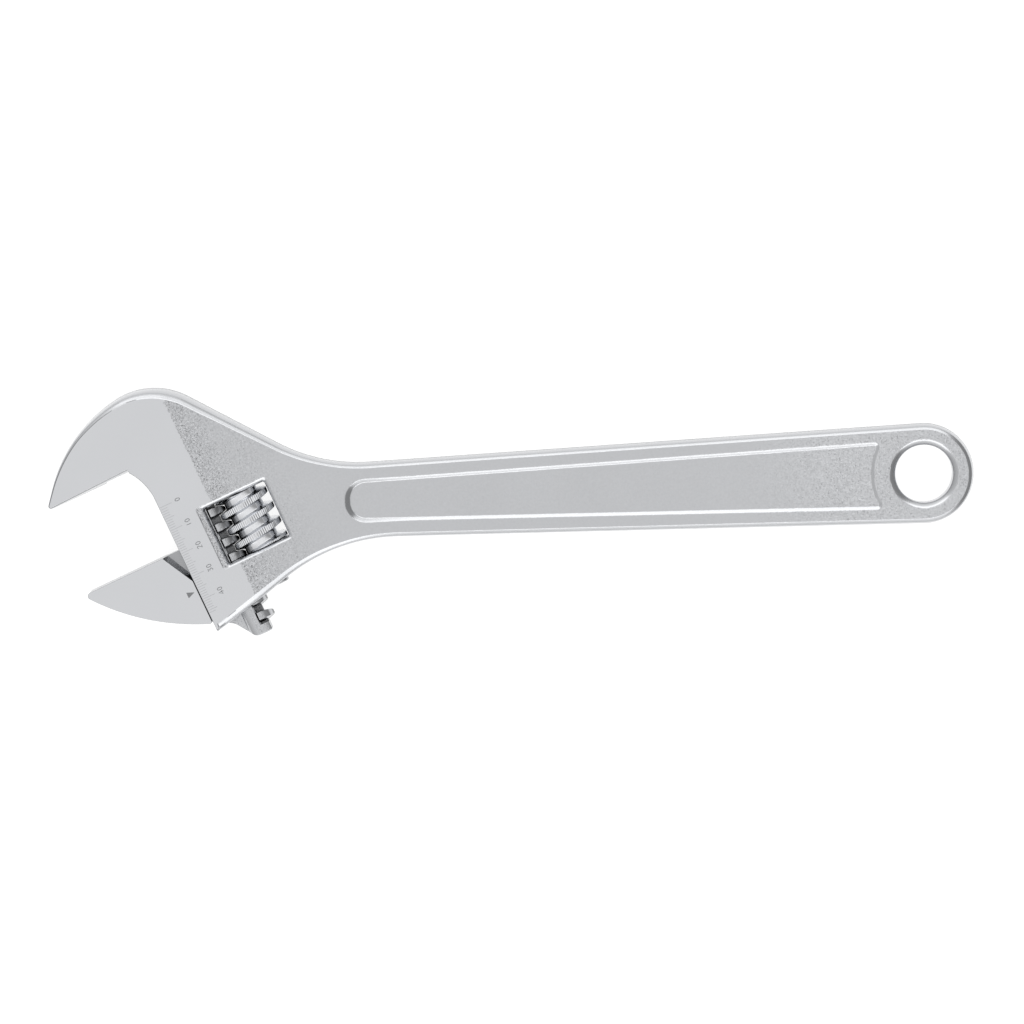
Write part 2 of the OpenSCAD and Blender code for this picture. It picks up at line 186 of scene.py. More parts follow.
# ---------------------------------------------------------------- meshes
class Shell:
    """A mesh under construction, in millimetres."""

    def __init__(self):
        self.points, self.faces = [], []

    def ring(self, xy, z):
        start = len(self.points)
        heights = np.broadcast_to(z, len(xy))
        self.points += [(x, y, h) for (x, y), h in zip(xy, heights)]
        return list(range(start, len(self.points)))

    def strip(self, a, b):
        for i in range(len(a)):
            j = (i + 1) % len(a)
            self.faces.append((a[i], a[j], b[j], b[i]))

    def stack(self, levels):
        """Strips between successive rings, each (xy, z). Returns the rings."""
        rings = [self.ring(xy, z) for xy, z in levels]
        for a, b in zip(rings, rings[1:]):
            self.strip(a, b)
        return rings

    def fill(self, outer, holes=(), extra=()):
        """Triangles over the area inside ring outer and outside the rings holes, with the
        extra points on it."""
        loops = [outer, *holes]
        ids = [i for loop in loops for i in loop]
        start = len(self.points)
        self.points += [tuple(p) for p in extra]
        ids += range(start, len(self.points))
        flat = [Vector(self.points[i][:2]) for i in ids]
        edges, base = [], 0
        for loop in loops:
            n = len(loop)
            edges += [(base + k, base + (k + 1) % n) for k in range(n)]
            base += n
        found = delaunay_2d_cdt(flat, edges, [], 0, 1e-6)
        back = [ids[o[0]] for o in found[3]]
        triangles = np.array([[back[k] for k in f] for f in found[2]])
        xy = np.array([p[:2] for p in self.points])
        middle = xy[triangles].mean(1)
        a, b, c = (xy[triangles[:, k]] for k in range(3))
        area = (b - a)[:, 0] * (c - a)[:, 1] - (b - a)[:, 1] * (c - a)[:, 0]
        keep = inside(middle, xy[outer]) & (area > 1e-7)
        for loop in holes:
            keep &= ~inside(middle, xy[loop])
        self.faces += [tuple(t) for t in triangles[keep]]

    def mirror(self):
        """Adds the mirror image below z = 0; points at z = 0 are shared."""
        twin = {}
        for i, (x, y, z) in enumerate(list(self.points)):
            if abs(z) < 1e-9:
                twin[i] = i
            else:
                twin[i] = len(self.points)
                self.points.append((x, y, -z))
        self.faces += [tuple(twin[i] for i in reversed(f)) for f in list(self.faces)]

    def build(self, name):
        mesh = bpy.data.meshes.new(name)
        mesh.from_pydata([Vector(p) * MM for p in self.points], [], self.faces)
        bm = bmesh.new()
        bm.from_mesh(mesh)
        bmesh.ops.remove_doubles(bm, verts=bm.verts, dist=1e-7)
        bmesh.ops.recalc_face_normals(bm, faces=bm.faces)
        bm.to_mesh(mesh)
        bm.free()
        obj = bpy.data.objects.new(name, mesh)
        bpy.context.scene.collection.objects.link(obj)
        return obj


def in_head(obj):
    """Moves a mesh built in the head frame to the row frame."""
    turn = Matrix.Rotation(JAW_ANGLE, 4, "Z")
    obj.data.transform(Matrix.Translation((HEAD_X * MM, HEAD_Y * MM, 0)) @ turn)
    return obj


def lay_along_w(obj, u):
    """Turns a mesh built along Z so that it runs along w at u, still in the head frame."""
    turn = Matrix.Rotation(-math.pi / 2, 4, "X")
    obj.data.transform(Matrix.Translation((u * MM, 0, 0)) @ turn)
    return obj


def along_w(obj, u):
    """Moves a mesh built along Z to the row frame, so that it runs along w at u."""
    return in_head(lay_along_w(obj, u))


def boolean(obj, tool, operation="DIFFERENCE"):
    """Applies a boolean and removes the tool."""
    modifier = obj.modifiers.new("cut", "BOOLEAN")
    modifier.object, modifier.operation, modifier.solver = tool, operation, "MANIFOLD"
    done = bpy.data.meshes.new_from_object(
        obj.evaluated_get(bpy.context.evaluated_depsgraph_get())
    )
    obj.modifiers.clear()
    obj.data = done
    bpy.data.objects.remove(tool)
    return obj


def lathe(name, profile, steps=72):
    """Solid of revolution about Z from (radius, z) points, closed on the axis at both ends."""
    shell = Shell()
    angles = np.arange(steps) * 2 * math.pi / steps
    circle = np.stack([np.cos(angles), np.sin(angles)], 1)
    rings = shell.stack([(circle * r, z) for r, z in profile])
    shell.faces += [tuple(rings[0]), tuple(rings[-1])]
    return shell.build(name)


def block(name, low, high):
    """A box between two corners."""
    shell = Shell()
    xy = np.array([(low[0], low[1]), (high[0], low[1]), (high[0], high[1]), (low[0], high[1])])
    rings = shell.stack([(xy, low[2]), (xy, high[2])])
    shell.faces += [tuple(rings[0]), tuple(rings[1])]
    return shell.build(name)


# rounding of a rim: share of its width moved in, and share of its depth below the face
RIM = [(0, 1), (0.07, 0.83), (0.22, 0.62), (0.55, 0.35), (0.8, 0.13), (0.91, 0.035), (1, 0)]


def rounded_prism(name, corners, half, bevel):
    """Prism about z = 0 with rounded rims on both faces."""
    ring, _ = trace([(*c, 0) for c in corners], 0.8, 6)
    shell = Shell()
    levels = [(ring, 0)]
    levels += [(inset(ring, bevel * a), half - bevel * b) for a, b in RIM]
    levels.append((inset(ring, bevel + 0.15), half))
    shell.fill(shell.stack(levels)[-1])
    shell.mirror()
    return shell.build(name)


def smooth(obj, degrees=32):
    """Smooth shading with sharp edges where faces meet at more than an angle."""
    bm = bmesh.new()
    bm.from_mesh(obj.data)
    bmesh.ops.remove_doubles(bm, verts=bm.verts, dist=2e-7)
    bmesh.ops.dissolve_degenerate(bm, edges=bm.edges, dist=1e-7)
    bm.to_mesh(obj.data)
    bm.free()
    obj.data.polygons.foreach_set("use_smooth", [True] * len(obj.data.polygons))
    obj.data.set_sharp_from_angle(angle=math.radians(degrees))
    return obj


# ---------------------------------------------------------------- body
def head_corner(u, w, r, draft, bevel, steep=0.8):
    """A corner of the forging's outline, given in the head frame."""
    return (*place(u, w), r, draft, bevel, steep)


def window_ring(low_u, lip):
    """A ring around the window, with its jaw side at low_u and its other sides moved out by a
    share of the lips' width. Returns its points, and how far each belongs to the jaw side."""
    high_u = WINDOW_HALF + 1.7 * lip
    low_w, high_w = WINDOW_LOW - 1.7 * lip, WINDOW_HIGH + 2.1 * lip
    r = 0.7 + 0.9 * lip
    middles = [
        (high_u - r, high_w - r), (low_u + r, high_w - r),
        (low_u + r, low_w + r), (high_u - r, low_w + r),
    ]
    arc_points, side_parts = 7, 9
    bend = [
        (mu + r * math.cos(a), mw + r * math.sin(a))
        for k, (mu, mw) in enumerate(middles)
        for a in (math.radians(90 * (k + j / (arc_points - 1))) for j in range(arc_points))
    ]
    full = []
    for i, (u, w) in enumerate(bend):
        nu, nw = bend[(i + 1) % len(bend)]
        parts = side_parts if i % arc_points == arc_points - 1 else 1
        full += [(u + (nu - u) * j / parts, w + (nw - w) * j / parts) for j in range(parts)]
    side = np.array([min(1.0, max(0.0, (low_u + r - u) / r)) for u, _ in full])
    return np.array([place(u, w) for u, w in full]), side


def panel_ring():
    """Outline of the recessed panel: straight sides, a rounded end towards the head, and an arc
    around the hang hole."""
    arc_r, arc_x, end_half = 23.3, 3.0, 13.0
    head_x, head_half, hole_half = -234.1, 8.3, 13.75
    sweep = [math.asin(end_half / arc_r) * s for s in (1, *np.linspace(0.7, 0, 8))]
    arc = [(arc_x - arc_r * math.cos(a), -arc_r * math.sin(a)) for a in sweep]
    corners = [(head_x, -head_half, 8), (arc[0][0], -hole_half, 2.2)]
    corners += [(x, y, 0) for x, y in arc[1:]]
    corners += [(x, -y, 0) for x, y in arc[-2:0:-1]]
    corners += [(arc[0][0], hole_half, 2.2), (head_x, head_half, 8)]
    return trace([(*c, 0) for c in corners], 0.9, 5)[0]


def forging():
    """The forging without its bores: drafted sides, rounded rims, panels, window and hang hole."""
    # x, y, fillet, draft of the side, width of the rim, and its depth as a share of its width
    corners = [
        (END_R, -END_Y, END_R - 0.05, 0.7, 1.7, 0.8),
        (END_R, END_Y, END_R - 0.05, 0.9, 1.6, 0.8),
        (-244, END_R / math.cos(TAPER) - 244 * math.tan(TAPER), 70, 0.9, 1.5, 0.8),
        (-303.3, 49.5, 28.4, 1.3, 3.0, 0.8),
        (-319.6, 49.3, 28.4, 1.1, 2.6, 0.8),
        (-346.8, 32.6, 61, 0.6, 1.2, 0.8),
        head_corner(-72.2, FIXED_W, 1.6, 0.6, 0.4),
        head_corner(-34.9, FIXED_W, 0, 1.7, 0.3),
        head_corner(-34.5, FIXED_W - 0.2, 0, 0.3, 0.25),
        head_corner(THROAT_U, 31.6, 21.2, 0, 0.2),
        head_corner(THROAT_U, -34.5, 0, 0.05, 0.2),
        head_corner(THROAT_U, -35.3, 0, 0.2, 0.9),
        head_corner(-27.6, -34.89, 0, 0.3, 2.5, 0.69),
        head_corner(-10.5, -31.4, 0, 0.4, 3.0, 0.69),
        (-240.3, -15.3, 74, 0.6, 1.7, 0.7),
        (-211.5, -END_R / math.cos(TAPER) + 211.5 * math.tan(TAPER), 0, 0.5, 1.6, 0.8),
    ]
    ring, extra = trace(corners)
    draft, bevel, depth = extra[:, 0], extra[:, 1], extra[:, 1] * extra[:, 2]
    shell = Shell()
    levels = [(ring, 0)]
    for share in (0.5, 1):
        xy = inset(ring, draft * share)
        levels.append((xy, (face_height(xy) - depth) * share))
    for a, b in RIM[1:]:
        xy = inset(ring, draft + bevel * a)
        levels.append((xy, face_height(xy) - depth * b))
    xy = inset(ring, draft + bevel + 0.3)
    levels.append((xy, face_height(xy)))
    rim = shell.stack(levels)[-1]

    # window, with soft lips on three sides, and a shallow step on the jaw side:
    # place of the jaw side, its depth, share of the lips' width, and their depth
    profile = [
        (-13.3, 3.0, 0, 1.9), (-13.6, 2.2, 0.07, 1.4), (-13.9, 1.3, 0.2, 0.95),
        (-14.15, 0.7, 0.34, 0.66), (-14.4, 0.4, 0.5, 0.41), (-15.4, 0.31, 0.7, 0.18),
        (-16.2, 0.27, 0.85, 0.06), (-16.45, 0.1, 0.95, 0.01), (-16.65, 0, 1, 0),
        (-16.9, 0, 1.12, 0),
    ]
    levels = [(window_ring(-WINDOW_HALF, 0)[0], 0)]
    for low_u, step_depth, lip_share, lip_depth in profile:
        xy, side = window_ring(low_u, lip_share)
        levels.append((xy, face_height(xy) - lip_depth - (step_depth - lip_depth) * side))
    window = shell.stack(levels)[-1]

    # hang hole: radius and height
    angles = np.arange(96) * 2 * math.pi / 96
    circle = np.stack([np.cos(angles), np.sin(angles)], 1)
    lip = ((11.7, 0), (11.7, 4.2), (11.78, 4.6), (12.0, 4.9), (13.4, 6.0), (13.75, 6.2),
           (14.05, 6.33), (14.3, 6.39), (14.55, 6.4), (14.85, 6.4))
    hole = shell.stack([(circle * r, z) for r, z in lip])[-1]

    # recessed panel; where its floor meets the slope, the panel's side is higher and wider
    panel = panel_ring()
    side_slant = 1.1 / 1.6
    above = -(face_height(panel) - HANDLE_HT) * side_slant
    levels = []
    for move, drop in ((-0.65, 0), (-0.35, 0.02), (-0.05, 0.09), (0.2, 0.2)):
        xy = inset(panel, above + move)
        levels.append((xy, face_height(xy) - drop))
    for move, rise in ((1.05, 0.22), (1.3, 0.08), (1.55, 0.02), (1.85, 0)):
        levels.append((inset(panel, move), PANEL_Z + rise))
    rings = shell.stack(levels)
    shell.fill(rings[-1])

    # face between the rims, with lines of points where it bends
    bends = [CREST_U + d for d in (-1.2, -0.6, 0, 0.6, 1.2)]
    bends += [SLOPE_END_U + d for d in np.linspace(-15, 15, 9)]
    grid = np.array([place(u, w) for u in bends for w in np.arange(-45, 70, 3.0)])
    xy = np.array([p[:2] for p in shell.points])
    room = inside(grid, inset(xy[rim], 1.0))
    room &= ~inside(grid, inset(xy[window], -1.0)) & ~inside(grid, inset(xy[rings[0]], -1.0))
    grid = grid[room]
    shell.fill(rim, (window, hole, rings[0]), np.column_stack([grid, face_height(grid)]))
    shell.mirror()
    return shell.build("wrench_body")


def ribbon(shell, points, width, low, high, closed=False):
    """A stroke of even width along points (u, w), as a prism from z low to z high."""
    p = np.array([place(u, w) for u, w in points])
    if closed:
        e, f = p - np.roll(p, 1, 0), np.roll(p, -1, 0) - p
    else:
        d = np.diff(p, axis=0)
        e, f = np.vstack([d[:1], d]), np.vstack([d, d[-1:]])
    e = e / np.linalg.norm(e, axis=1)[:, None]
    f = f / np.linalg.norm(f, axis=1)[:, None]
    m = np.stack([-e[:, 1] - f[:, 1], e[:, 0] + f[:, 0]], 1)
    m /= np.linalg.norm(m, axis=1)[:, None]
    side = m * (width / 2 / np.maximum(0.6, -m[:, 0] * f[:, 1] + m[:, 1] * f[:, 0]))[:, None]
    left, right = p + side, p - side
    if closed:
        a, b = shell.ring(left, low), shell.ring(left, high)
        c, d = shell.ring(right, low), shell.ring(right, high)
        for pair in ((a, b), (b, d), (d, c), (c, a)):
            shell.strip(*pair)
    else:
        xy = np.vstack([right, left[::-1]])
        a, b = shell.ring(xy, low), shell.ring(xy, high)
        shell.strip(a, b)
        n = len(p)
        for ring in (a, b):
            for k in range(n - 1):
                shell.faces.append((ring[k], ring[k + 1], ring[2 * n - 2 - k], ring[2 * n - 1 - k]))


def digit_strokes(digit):
    """Strokes of a digit in a box 1 wide and 1.7 high: lists of points, and whether closed."""
    turn = [math.radians(a) for a in range(0, 360, 30)]
    if digit == "0":
        return [([(0.5 + 0.42 * math.cos(a), 0.85 + 0.8 * math.sin(a)) for a in turn], True)]
    if digit == "1":
        return [([(0.5, 0.05), (0.5, 1.65)], False)]
    if digit == "2":
        bow = [(0.5 + 0.4 * math.cos(math.radians(a)), 1.22 + 0.42 * math.sin(math.radians(a)))
               for a in range(160, -50, -30)]
        return [(bow + [(0.1, 0.06), (0.92, 0.06)], False)]
    if digit == "3":
        return [([(0.12, 1.64), (0.85, 1.64), (0.45, 1.02), (0.78, 0.86), (0.9, 0.5),
                  (0.7, 0.14), (0.38, 0.06), (0.1, 0.22)], False)]
    return [([(0.98, 0.45), (0.0, 0.45), (0.7, 1.66), (0.7, 0.05)], False)]


def scale_marks():
    """Cutter for the millimetre scale and its numbers on the front face."""
    shell = Shell()
    low, high = HEAD_HT - SCALE_DEPTH, HEAD_HT + 0.5
    lines, line_width = 47, 0.2
    for k in range(lines):
        w = SCALE_ZERO - SCALE_STEP * k
        reach = 5.6 if k % 10 == 0 else 4.3 if k % 5 == 0 else 3.2
        ribbon(shell, [(THROAT_U + 0.45, w), (THROAT_U + reach, w)], line_width, low, high)
    # width of a digit, pitch and stroke, and where the digits' feet stand
    size, stroke, foot_u = 1.25, 0.27, -20.3
    pitch = 1.35 * size
    for k, text in enumerate(("0", "10", "20", "30", "40")):
        middle = SCALE_ZERO - 10 * SCALE_STEP * k + 0.2
        for j, digit in enumerate(text):
            start = middle + (j - len(text) / 2) * pitch + 0.17 * size
            for points, closed in digit_strokes(digit):
                # glyph tops point to the throat, and the text reads along w
                moved = [(foot_u - y * size, start + x * size) for x, y in points]
                ribbon(shell, moved, stroke, low, high, closed)
    return shell.build("marks")


body = forging()
bore_top = FIXED_W - JAW_W + SLIDE_TOP + 0.7
slide_bore = lathe("bore", [(SLIDE_R + RUN_GAP, -60), (SLIDE_R + RUN_GAP, bore_top)], 96)
boolean(body, along_w(slide_bore, SLIDE_U))
web_gap = WEB_HT + RUN_GAP
boolean(body, in_head(block("slot", (-45, -60, -web_gap), (SLIDE_U, FIXED_W + 0.6, web_gap))))
boolean(body, along_w(lathe("bore", [(PIN_HEAD_R, -60), (PIN_HEAD_R, -19)]), WORM_U))
boolean(body, along_w(lathe("bore", [(PIN_R, -20), (PIN_R, 18.2)]), WORM_U))
boolean(body, scale_marks())
smooth(body)


# ---------------------------------------------------------------- movable jaw
def toothed_bar(outline):
    """The slide bar with its rack and the web beside it, cut to an outline (u, w, fillet)."""
    bar = lathe("bar", [(SLIDE_R - 0.5, SLIDE_END), (SLIDE_R, SLIDE_END + 0.5),
                        (SLIDE_R, SLIDE_TOP - 0.5), (SLIDE_R - 0.5, SLIDE_TOP)], 96)
    lay_along_w(bar, SLIDE_U)
    # what stays of the bar: its left half, a core, the solid lower end, and the teeth
    low_w, high_w, core_ht, heel_ht, heel_w = SLIDE_END - 1, 20, 1.6, 8, -40.2
    far = SLIDE_R + 1
    keep = block("keep", (SLIDE_U - far, low_w, -far), (SLIDE_U - 0.3, high_w, far))
    core = block("core", (-15, low_w, -core_ht), (RACK_ROOT + 0.25, high_w, core_ht))
    boolean(keep, core, "UNION")
    heel = block("heel", (-15, low_w, -heel_ht), (RACK_ROOT + 0.3, heel_w, heel_ht))
    boolean(keep, heel, "UNION")
    for k in range(8):
        boolean(keep, rack_tooth(CREST_PHASE - k * LEAD), "UNION")
    boolean(bar, keep, "INTERSECT")
    boolean(bar, block("web", (-45, low_w, -WEB_HT), (SLIDE_U, JAW_W, WEB_HT)), "UNION")
    return boolean(bar, rounded_prism("outline", outline, SLIDE_R + 1, 0.2), "INTERSECT")


def throat_relief(side):
    """Cutter for the slope beside the throat on one face, with side 1 or -1. It runs from a
    foot line on the web to a brow line on the blade's face, and goes on to above the face."""
    foot = [(-35.1, JAW_W), (-30.5, -8.0)]
    brow = [(-37.2, JAW_W), (-30.2, -12.0)]
    right_u, top_z = -10, 12
    rings = []
    for (au, aw), (bu, bw) in (foot, brow):
        # each line is drawn out by its own length at its start, and by twice that at its end
        rings.append(np.array([
            (2 * au - bu, 2 * aw - bw), (3 * bu - 2 * au, 3 * bw - 2 * aw),
            (right_u, 3 * bw - 2 * aw), (right_u, 2 * aw - bw),
        ]))
    low, face = rings
    top = low + (face - low) * (top_z - WEB_HT) / (HEAD_HT - WEB_HT)
    relief = Shell()
    ends = relief.stack([(low, WEB_HT * side), (top, top_z * side)])
    relief.faces += [tuple(ends[0]), tuple(ends[1])]
    return relief.build("relief")


def movable_jaw():
    """The blade with its pointer, and the toothed bar."""
    blade_gap = 0.28
    blade = rounded_prism("wrench_movable_jaw", [
        (THROAT_U - blade_gap, -31.3, 0.8),
        (THROAT_U - blade_gap, -8.0, 0),
        (-35.0, JAW_W, 0),
        (-72.7, JAW_W, 1.5),
        (-54.5, -21.5, 95),
    ], HEAD_HT, 0.14)
    bar_left, bar_right = SLIDE_U - SLIDE_R - 0.3, SLIDE_U + SLIDE_R
    bar = toothed_bar([
        (-45, JAW_W, 0),
        (-45, -23.0, 0),
        (-30, -30.9, 8),
        (-22.3, -35.2, 8),
        (-16.4, SLIDE_END + 0.1, 3.5),
        (-9.6, SLIDE_END, 1.6),
        (bar_right, SLIDE_END + 3, 0),
        (bar_right, SLIDE_TOP, 1),
        (bar_left, SLIDE_TOP, 1),
        (bar_left, JAW_W, 0),
    ])
    for side in (1, -1):
        boolean(blade, throat_relief(side))
    boolean(blade, bar, "UNION")
    pointer = Shell()
    xy = np.array([(-34.3, -15.35), (-34.3, -17.85), (-31.2, -16.6)])
    rings = pointer.stack([(xy, HEAD_HT - 0.14), (xy, HEAD_HT + 1)])
    pointer.faces += [tuple(rings[0]), tuple(rings[1])]
    boolean(blade, pointer.build("pointer"))
    return smooth(in_head(blade))


def rack_tooth(w):
    """One slanted rack tooth with a rounded tip and trimmed ends, in the head frame."""
    gap, below = 0.15, 3.6
    half_tip = (LEAD - CREST_W) / 2 - (WORM_R - (WORM_U - RACK_TIP)) * math.tan(FLANK) - gap
    half_root = half_tip + math.tan(FLANK) * (RACK_TIP - RACK_ROOT + 1)
    slant = math.atan(LEAD / (2 * math.pi * (WORM_U - RACK_TIP + 1.2)))
    tip = RACK_TIP - RACK_ROOT
    section = np.array([
        (-below, -half_root), (-1, -half_root), (tip - 1.1, -half_tip - 0.1),
        (tip - 0.5, -half_tip + 0.15), (tip - 0.12, -half_tip + 0.5), (tip, 0.9 - half_tip),
        (tip, half_tip - 0.9), (tip - 0.12, half_tip - 0.5), (tip - 0.5, half_tip - 0.15),
        (tip - 1.1, half_tip + 0.1), (-1, half_root), (-below, half_root),
    ])
    shell = Shell()
    # amount trimmed, and height
    trim = [(0.8, 7.0), (0.68, 6.4), (0.5, 5.8), (0.32, 5.2), (0.16, 4.6), (0.05, 4.0), (0, 3.4)]
    levels = [(inset(section, d), -z) for d, z in trim]
    levels += [(inset(section, d), z) for d, z in reversed(trim)]
    rings = shell.stack(levels)
    shell.faces += [tuple(rings[0]), tuple(rings[-1])]
    obj = shell.build("tooth")
    obj.data.transform(
        Matrix.Translation((RACK_ROOT * MM, w * MM, 0)) @ Matrix.Rotation(-slant, 4, "X")
    )
    return obj


jaw = movable_jaw()


# ---------------------------------------------------------------- worm
def worm():
    """Single-start thread with knurled crests, cut to length with bevelled ends."""
    steps = 4 * KNURLS
    reach = (WORM_R - WORM_ROOT) * math.tan(FLANK)
    half = CREST_W / 2
    # axial offset from the crest's middle, radius, and share of the knurl's depth
    section = [
        (-half - reach - 0.45, WORM_ROOT, 0),
        (-half - reach - 0.1, WORM_ROOT + 0.08, 0),
        (-half - reach + 0.1, WORM_ROOT + 0.55, 0),
        (-half - 0.06, WORM_R - 0.3, 0),
        (-half + 0.06, WORM_R - 0.1, 0.3),
        (-half + 0.25, WORM_R, 1),
    ]
    section += [(-t, r, share) for t, r, share in reversed(section)]
    first = math.floor((WORM_LOW - CREST_PHASE) / LEAD) - 2
    last = math.ceil((WORM_TOP - CREST_PHASE) / LEAD) + 1
    profile = [(LEAD * m + t, r, share) for m in range(first, last + 1) for t, r, share in section]
    shell = Shell()
    n, pitch, end = len(profile), len(section), (steps - 1) * len(profile)
    for k in range(steps):
        angle = 2 * math.pi * k / steps
        groove = abs((k * KNURLS / steps + 0.5) % 1 - 0.5) * 2
        for t, r, share in profile:
            r -= KNURL_DEPTH * share * groove
            z = CREST_PHASE + t + LEAD * k / steps
            shell.points.append((r * math.cos(angle), r * math.sin(angle), z))
    for k in range(steps - 1):
        for a in range(k * n, k * n + n - 1):
            shell.faces.append((a, a + 1, a + 1 + n, a + n))
    # a full turn lands on the next ridge
    for a in range(n - 1 - pitch):
        shell.faces.append((end + a, end + a + 1, a + 1 + pitch, a + pitch))
    low_edge = [k * n for k in range(steps)] + list(range(pitch, 0, -1))
    high_edge = [k * n + n - 1 for k in range(steps)]
    high_edge += list(range(end + n - 2, end + n - 2 - pitch, -1))
    for edge, z in ((low_edge, profile[0][0]), (high_edge, profile[-1][0])):
        shell.points.append((0, 0, CREST_PHASE + z + LEAD / 2))
        middle = len(shell.points) - 1
        for k, a in enumerate(edge):
            shell.faces.append((a, edge[(k + 1) % len(edge)], middle))
    thread = shell.build("wrench_worm")
    # the ends' bevel: how far in, and how far from the end
    outer = WORM_R + 0.1
    bevel = [(1.0, 0), (0.35, 0.2), (0, 0.7)]
    ends = [(outer - r, WORM_LOW + z) for r, z in bevel]
    ends += [(outer - r, WORM_TOP - z) for r, z in reversed(bevel)]
    boolean(thread, lathe("ends", ends, 144), "INTERSECT")
    boolean(thread, lathe("bore", [(PIN_R, WORM_LOW - 1), (PIN_R, WORM_TOP + 1)]))
    boolean(thread, lathe("bore", [(SPRING_R, SPRING_SEAT), (SPRING_R, WORM_TOP + 1)]))
    return smooth(along_w(thread, WORM_U), 28)


thread = worm()


# ---------------------------------------------------------------- materials
class Nodes:
    """Short forms for building one material. Noise scales are features per metre."""

    def __init__(self, name):
        self.material = bpy.data.materials.new(name)
        self.material.use_nodes = True
        self.tree = self.material.node_tree
        self.shader = self.tree.nodes["Principled BSDF"]

    def add(self, kind, **inputs):
        node = self.tree.nodes.new(kind)
        for key, value in inputs.items():
            self.put(node.inputs[key], value)
        return node

    def put(self, socket, value):
        if isinstance(value, bpy.types.NodeSocket):
            self.tree.links.new(value, socket)
        else:
            socket.default_value = value

    def math(self, operation, a, b=0.0, c=0.0):
        node = self.tree.nodes.new("ShaderNodeMath")
        node.operation = operation
        for socket, value in zip(node.inputs, (a, b, c)):
            self.put(socket, value)
        return node.outputs[0]

    def plus(self, a, b):
        return self.math("ADD", a, b)

    def times(self, a, b):
        return self.math("MULTIPLY", a, b)

    def split(self, vector):
        node = self.tree.nodes.new("ShaderNodeSeparateXYZ")
        self.put(node.inputs[0], vector)
        return node.outputs

    def noise(self, vector, scale, detail=2.0, rough=0.5):
        node = self.add(
            "ShaderNodeTexNoise", Vector=vector, Scale=scale, Detail=detail, Roughness=rough
        )
        return node.outputs["Fac"]

    def mix(self, factor, a, b):
        """a to b as factor goes from 0 to 1, for plain values."""
        return self.math("MULTIPLY_ADD", factor, self.math("SUBTRACT", b, a), a)

    def grey(self, value, tint=(0.96, 0.973, 1.0)):
        """A colour from one brightness, slightly blue like chrome unless told otherwise."""
        node = self.tree.nodes.new("ShaderNodeCombineColor")
        for socket, share in zip(node.inputs, tint):
            self.put(socket, self.times(value, share))
        return node.outputs[0]

    def step(self, value, low, high):
        """A smooth step from 0 at low to 1 at high; low may be the larger one."""
        node = self.tree.nodes.new("ShaderNodeMapRange")
        node.interpolation_type = "SMOOTHSTEP"
        for key, number in (("Value", value), ("From Min", low), ("From Max", high)):
            self.put(node.inputs[key], number)
        return node.outputs[0]


class Steel(Nodes):
    """A steel's nodes, with what its marks and skin are placed by."""

    def __init__(self, name):
        super().__init__(name)
        coordinates = self.tree.nodes.new("ShaderNodeTexCoord")
        self.position = coordinates.outputs["Object"]
        self.x, y, self.z = self.split(self.position)
        self.du, self.dv = self.plus(self.x, -HEAD_X * MM), self.plus(y, -HEAD_Y * MM)
        self.u = self.plus(self.times(self.du, COS), self.times(self.dv, SIN))
        # 1 on the faces across the thickness, and 0 on the sides
        facing = self.math("ABSOLUTE", self.split(coordinates.outputs["Normal"])[2])
        self.flat = self.step(facing, 0.9, 0.985)
        # waves of about 4 mm in the skin
        self.waves = self.noise(self.position, 260)


def forged_area(m, ground_left_of):
    """Where the forged skin is, right of the ground face's ragged edge; how coarse it is; and
    how much darker it is than the ground face, with painted light that lifts it towards the
    handle's end."""
    jag = m.times(m.plus(m.noise(m.position, 800, 3.0, 0.7), -0.5), 0.0026)
    edge = 0.15
    forged = m.step(m.plus(m.u, jag), (ground_left_of - edge) * MM, (ground_left_of + edge) * MM)
    # the step beside the window lies below the ground face, and is forged too
    sunk = m.step(m.z, (HEAD_HT - 0.05) * MM, (HEAD_HT - 0.1) * MM)
    beside_window = m.times(sunk, m.step(m.u, -16.9 * MM, -16.6 * MM))
    # the skin is coarse by the window and at the handle's end, and fine between
    near_ground = m.step(m.u, 6 * MM, -6 * MM)
    near_window = m.step(m.u, 30 * MM, 10 * MM)
    near_end = m.step(m.x, -80 * MM, -30 * MM)
    coarse = m.math("MULTIPLY_ADD", near_window, 0.6, 0.25)
    coarse = m.plus(m.plus(coarse, near_ground), near_end)
    # the last value: the forging's darker tone, with painted light lifting it by 0.035 towards the
    # handle's end
    return (
        m.math("MAXIMUM", forged, beside_window),
        coarse,
        m.math("MULTIPLY_ADD", near_end, 0.035, FORGED_SHADE),
    )


def ink(m):
    """Where paint is in the engraved marks, just below the face; paler in the scale's lines."""
    below = m.step(m.z, (HEAD_HT - 0.02) * MM, (HEAD_HT - 0.1) * MM)
    above = m.step(m.z, (HEAD_HT - 0.25) * MM, (HEAD_HT - 0.2) * MM)
    area = m.step(m.u, -19.0 * MM, -19.2 * MM)
    lines = m.times(m.step(m.u, -29.9 * MM, -29.7 * MM), m.step(m.u, -23.3 * MM, -23.5 * MM))
    area = m.times(area, m.math("MULTIPLY_ADD", lines, -0.62, 1.0))
    return m.times(m.times(below, above), area)


